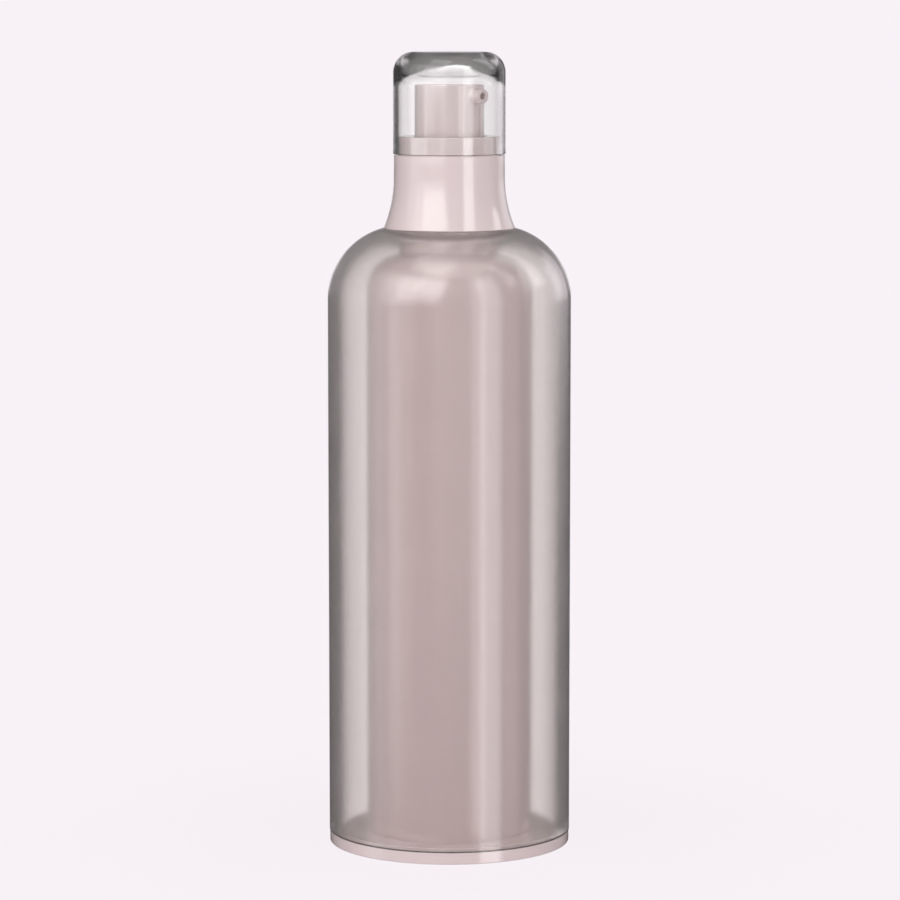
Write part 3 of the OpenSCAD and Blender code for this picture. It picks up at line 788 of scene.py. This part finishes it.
class BOTTLE_OT_stage(bpy.types.Operator):
    """Set up the camera, the lamps, the floor and the surroundings."""

    bl_idname = "bottle.stage"
    bl_label = "Stage"

    # The photograph's camera: bearing in degrees, distance and height in millimetres, tilt down and lens
    BEARING = -45.0
    DISTANCE = 794.1
    HEIGHT = 177.76
    TILT = 6.889
    LENS = 154.7
    # The axis of the bottle stands a little left of the picture's middle; both are in the picture's pixels
    AXIS_LEFT, LENS_LENGTH = 0.65, 3868.5
    PAN = math.degrees(math.atan(AXIS_LEFT / LENS_LENGTH))
    # Height of the bottle that the lamps aim at
    AIM = 90
    # Panel lamps: name, bearing from the camera's and angle above the horizon in degrees, distance, width and height in
    # millimetres, and brightness. The keys show in gloss and brighten the colour
    KEYS = (
        ("key_left", -31, 27, 900, 700, 560, 1.6),
        ("key_right", 40, 4, 800, 300, 1300, 1.9),
        ("side_left", -78, 4, 700, 300, 1100, 0.6),
    )
    # The sheens show in gloss alone
    SHEENS = (
        ("sheen_left", -38, 25, 900, 1050, 760, 1.1),
        ("sheen_top", -28, 64, 900, 480, 440, 1.6),
        ("sheen_right", 39, 4, 800, 300, 1300, 0.85),
        ("sheen_shoulder", 101, 40, 750, 200, 650, 2.0),
    )
    # The fills brighten the colour alone
    FILLS = (
        ("fill_front", 4, 12, 1000, 900, 900, 0.6),
        ("fill_left", -70, 12, 900, 700, 900, 1.05),
        ("fill_right", 95, 8, 900, 500, 900, 0.7),
        ("fill_top", 20, 75, 900, 900, 900, 1.2),
    )
    # Pale patches that only gloss shows: the wall low behind the bottle, and a white card to the right of it. Bearing
    # and rise of their middle, and how far they reach to each side and up and down, in degrees
    PATCHES = ((180, 1, 17, 4), (137, 10, 15, 14))
    # Dim room that gloss shows: places from straight down (0) over the horizon (0.5) to straight up (1), with their
    # linear colours
    ROOM = ((0.44, (0.05, 0.047, 0.047, 1)), (0.5, (0.115, 0.11, 0.11, 1)), (1.0, (0.26, 0.25, 0.25, 1)))

    def execute(self, context):
        scene = context.scene
        scene.view_settings.view_transform = "Standard"
        self.camera(scene)
        self.floor(scene)
        self.world(scene)
        for panel in self.KEYS:
            self.lamp(scene, *panel)
        for panel in self.SHEENS:
            self.lamp(scene, *panel).visible_diffuse = False
        for panel in self.FILLS:
            self.lamp(scene, *panel).visible_glossy = False
        return {"FINISHED"}

    def direction(self, bearing, rise):
        """Unit vector from the bottle at a bearing from the camera's and an angle above the horizon, in degrees."""
        a, e = math.radians(self.BEARING + bearing), math.radians(rise)
        return np.array([math.sin(a) * math.cos(e), -math.cos(a) * math.cos(e), math.sin(e)])

    def camera(self, scene):
        """Camera that sees the bottle as the photograph does."""
        data = bpy.data.cameras.new("camera")
        data.lens, data.sensor_width = self.LENS, 36.0
        data.clip_start, data.clip_end = 0.01, 100.0
        camera = bpy.data.objects.new("camera", data)
        scene.collection.objects.link(camera)
        camera.location = self.direction(0, 0) * self.DISTANCE * MM + np.array([0, 0, self.HEIGHT * MM])
        camera.rotation_euler = (
            math.radians(90 - self.TILT),
            0,
            math.radians(self.BEARING - self.PAN),
        )
        scene.camera = camera

    def lamp(self, scene, name, bearing, rise, distance, width, height, brightness):
        """Soft panel lamp that faces the bottle. Its power is brightness times pi times its area."""
        data = bpy.data.lights.new(name, "AREA")
        data.shape = "RECTANGLE"
        data.size, data.size_y = width * MM, height * MM
        data.energy = brightness * math.pi * data.size * data.size_y
        lamp = bpy.data.objects.new(name, data)
        scene.collection.objects.link(lamp)
        aim = np.array([0, 0, self.AIM * MM])
        away = self.direction(bearing, rise)
        lamp.location = aim + away * distance * MM
        lamp.rotation_euler = (
            math.radians(90 - rise),
            0,
            math.radians(self.BEARING + bearing),
        )
        return lamp

    def floor(self, scene):
        """Round floor; away from the bottle it is the backdrop's plain colour, near it the bottle's shadow shows.

        It lies a hair below the base's rim, so that the two faces don't meet in one plane.
        """
        radius, corners = 3.0, 96
        u = np.arange(corners) * TURN / corners
        rim = np.stack([np.cos(u), np.sin(u), 0 * u], axis=1) * radius - np.array([0, 0, FIT * MM])
        mesh = bpy.data.meshes.new("floor")
        mesh.from_pydata(rim.tolist(), [], [list(range(corners))])
        floor = bpy.data.objects.new("floor", mesh)
        scene.collection.objects.link(floor)
        material, tree, output = new_material("studio_paper")
        colour = linear(scene.bottle_looks.backdrop)
        paper = add_node(tree, "ShaderNodeBsdfDiffuse", values={"Color": colour})
        glow = add_node(tree, "ShaderNodeEmission", values={"Color": colour, "Strength": 1.0})
        place = add_node(tree, "ShaderNodeTexCoord").outputs["Object"]
        far = add_node(tree, "ShaderNodeVectorMath", {"operation": "LENGTH"}, links={0: place}).outputs["Value"]
        fade = add_node(
            tree,
            "ShaderNodeMapRange",
            {"interpolation_type": "SMOOTHSTEP"},
            values={"From Min": 0.02, "From Max": 0.14, "To Min": 0.93, "To Max": 1.0},
            links={"Value": far},
        ).outputs["Result"]
        shown = self.shows_backdrop(tree)
        share = add_node(tree, "ShaderNodeMath", {"operation": "MULTIPLY"}, links={0: fade, 1: shown}).outputs[0]
        mix = add_node(tree, "ShaderNodeMixShader", links={0: share, 1: paper.outputs[0], 2: glow.outputs[0]})
        tree.links.new(mix.outputs[0], output.inputs["Surface"])
        mesh.materials.append(material)
        # Gloss mirrors the tall panels down to the bottle's foot
        floor.visible_glossy = floor.visible_transmission = False
        # The lamps reach down past it, so that the base is lit like the rest
        floor.visible_shadow = False

    @staticmethod
    def shows_backdrop(tree):
        """1 for the camera's rays and for those that went straight through clear plastic, 0 for reflected ones.

        Clear walls show the pale backdrop, and their edges, which reflect inside, show the dim room.
        """
        path = add_node(tree, "ShaderNodeLightPath").outputs
        straight = add_node(
            tree, "ShaderNodeMath", {"operation": "LESS_THAN"}, {1: 0.5}, {0: path["Glossy Depth"]}
        ).outputs[0]
        through = add_node(
            tree, "ShaderNodeMath", {"operation": "MULTIPLY"}, links={0: path["Is Transmission Ray"], 1: straight}
        ).outputs[0]
        return add_node(
            tree, "ShaderNodeMath", {"operation": "MAXIMUM"}, links={0: path["Is Camera Ray"], 1: through}
        ).outputs[0]

    def patch(self, tree, way, height, bearing, rise, wide, tall):
        """1 towards a soft-edged patch of the surroundings and 0 away from it.

        The patch lies at a bearing from the camera's and an angle above the horizon, and reaches so many degrees to
        each side, up and down. A quarter of that on either side of its edge is soft. Seen from the bottle, the cosine
        of the level angle to its middle tells how far a direction lies beside it, and the difference of the heights
        how far above or below.
        """
        flat = {1: (1, 1, 0)}
        level = add_node(tree, "ShaderNodeVectorMath", {"operation": "MULTIPLY"}, flat, {0: way}).outputs[0]
        level = add_node(tree, "ShaderNodeVectorMath", {"operation": "NORMALIZE"}, links={0: level}).outputs[0]
        middle = {1: tuple(self.direction(bearing, 0))}
        beside = add_node(tree, "ShaderNodeVectorMath", {"operation": "DOT_PRODUCT"}, middle, {0: level})
        middle = {1: math.sin(math.radians(rise))}
        above = add_node(tree, "ShaderNodeMath", {"operation": "SUBTRACT"}, middle, {0: height}).outputs[0]
        above = add_node(tree, "ShaderNodeMath", {"operation": "ABSOLUTE"}, links={0: above})
        outer, inner = 1.25, 0.75

        def within(distance, measure, reach):
            """1 nearer to the middle than the soft edge and 0 farther away, by one measure of an angle."""
            smooth = {"interpolation_type": "SMOOTHSTEP"}
            ends = {
                "From Min": measure(math.radians(reach * outer)),
                "From Max": measure(math.radians(reach * inner)),
            }
            return add_node(tree, "ShaderNodeMapRange", smooth, ends, {"Value": distance}).outputs["Result"]

        shares = {
            0: within(beside.outputs["Value"], math.cos, wide),
            1: within(above.outputs["Value"], math.sin, tall),
        }
        return add_node(tree, "ShaderNodeMath", {"operation": "MULTIPLY"}, links=shares).outputs[0]

    def world(self, scene):
        """Surroundings: the pale backdrop to the camera and through clear walls, a dim room to everything else."""
        world = bpy.data.worlds.new("studio")
        scene.world = world
        world.use_nodes = True
        tree = world.node_tree
        tree.nodes.clear()
        output = add_node(tree, "ShaderNodeOutputWorld")
        colour = linear(scene.bottle_looks.backdrop)
        way = add_node(tree, "ShaderNodeTexCoord").outputs["Generated"]
        height = add_node(tree, "ShaderNodeSeparateXYZ", links={0: way}).outputs["Z"]
        level = add_node(tree, "ShaderNodeMapRange", values={"From Min": -1, "From Max": 1}, links={"Value": height})
        ramp = add_node(tree, "ShaderNodeValToRGB", links={"Fac": level.outputs["Result"]})
        stops = ramp.color_ramp.elements
        stops.new(0.5)
        for stop, (place, shade) in zip(stops, self.ROOM):
            stop.position, stop.color = place, shade
        surroundings = ramp.outputs["Color"]
        for patch in self.PATCHES:
            share = self.patch(tree, way, height, *patch)
            surroundings = add_node(
                tree, "ShaderNodeMix", {"data_type": "RGBA"}, {7: colour}, {0: share, 6: surroundings}
            ).outputs[2]
        room = add_node(tree, "ShaderNodeBackground", links={"Color": surroundings})
        plain = add_node(tree, "ShaderNodeBackground", values={"Color": colour, "Strength": 1.0})
        mix = add_node(
            tree,
            "ShaderNodeMixShader",
            links={0: self.shows_backdrop(tree), 1: room.outputs[0], 2: plain.outputs[0]},
        )
        tree.links.new(mix.outputs[0], output.inputs["Surface"])


class BOTTLE_PT_panel(bpy.types.Panel):
    """Sidebar panel with the bottle's operators and settings."""

    bl_idname = "BOTTLE_PT_panel"
    bl_label = "Airless pump bottle"
    bl_space_type = "VIEW_3D"
    bl_region_type = "UI"
    bl_category = "Bottle"

    def draw(self, context):
        for operator in OPERATORS:
            self.layout.operator(operator.bl_idname)
        for group in (context.scene.bottle_looks, context.scene.bottle_sizes):
            box = self.layout.box()
            for key in group.__annotations__:
                box.prop(group, key)


OPERATORS = (
    BOTTLE_OT_stage,
    BOTTLE_OT_outer,
    BOTTLE_OT_inner,
    BOTTLE_OT_base,
    BOTTLE_OT_collar,
    BOTTLE_OT_overcap,
    BOTTLE_OT_button,
    BOTTLE_OT_spring,
    BOTTLE_OT_hidden,
)
CLASSES = (BottleLooks, BottleSizes, *OPERATORS, BOTTLE_PT_panel)


def register():
    for some_class in CLASSES:
        bpy.utils.register_class(some_class)
    bpy.types.Scene.bottle_looks = bpy.props.PointerProperty(type=BottleLooks)
    bpy.types.Scene.bottle_sizes = bpy.props.PointerProperty(type=BottleSizes)


def unregister():
    del bpy.types.Scene.bottle_sizes
    del bpy.types.Scene.bottle_looks
    for some_class in reversed(CLASSES):
        bpy.utils.unregister_class(some_class)


def main():
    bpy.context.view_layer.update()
    register()
    for operator in OPERATORS:
        space, name = operator.bl_idname.split(".")
        getattr(getattr(bpy.ops, space), name)()


if __name__ == "__main__":
    main()
